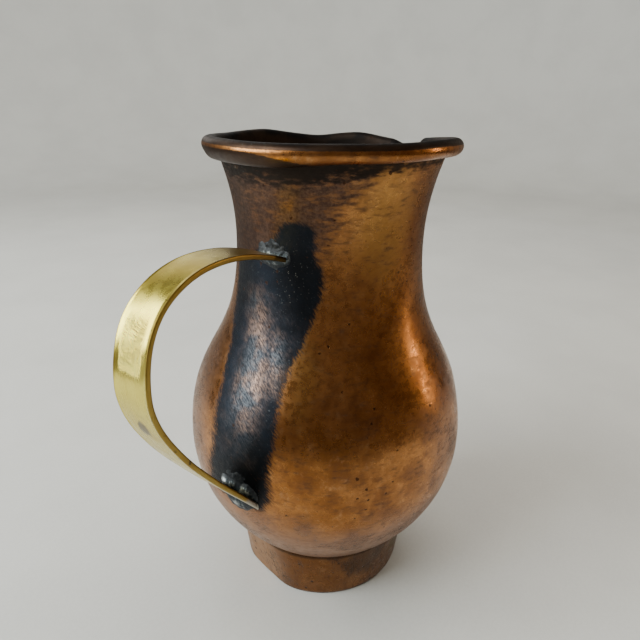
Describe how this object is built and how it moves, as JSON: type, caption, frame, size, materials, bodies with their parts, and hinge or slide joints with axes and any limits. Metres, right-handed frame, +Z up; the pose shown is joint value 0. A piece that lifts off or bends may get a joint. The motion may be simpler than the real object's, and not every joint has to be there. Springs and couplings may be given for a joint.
{
  "type": "copper jug",
  "caption": "Small raised copper jug with a round belly, a narrow neck, a flared mouth with a rolled rim, a brass strap handle and a soldered foot ring; it holds and pours a drink.",
  "frame": {"origin": "centre of the foot ring's lower edge, on the surface that the jug stands on", "axes": "+Z up along the jug's axis, -X towards the handle, Y across the handle"},
  "size_m": [0.1149, 0.0856, 0.14],
  "materials": {
    "copper_body": "aged hand-polished copper, brown-orange, with a dark tarnished band behind the handle",
    "copper_foot": "aged copper, satin, darker and more mottled than the body",
    "brass_strap": "polished yellow brass with fine scratches",
    "solder": "dull grey soft solder, lumpy, with a blue-green tarnish",
    "iron_wire": "plain drawn iron wire, hidden inside the rolled rim"
  },
  "bodies": {
    "root": {"body": "copper_body", "rim_wire": "iron_wire", "foot_ring": "copper_foot", "foot_solder": "solder", "handle": "brass_strap", "upper_solder": "solder", "lower_solder": "solder"}
  },
  "joints": []
}
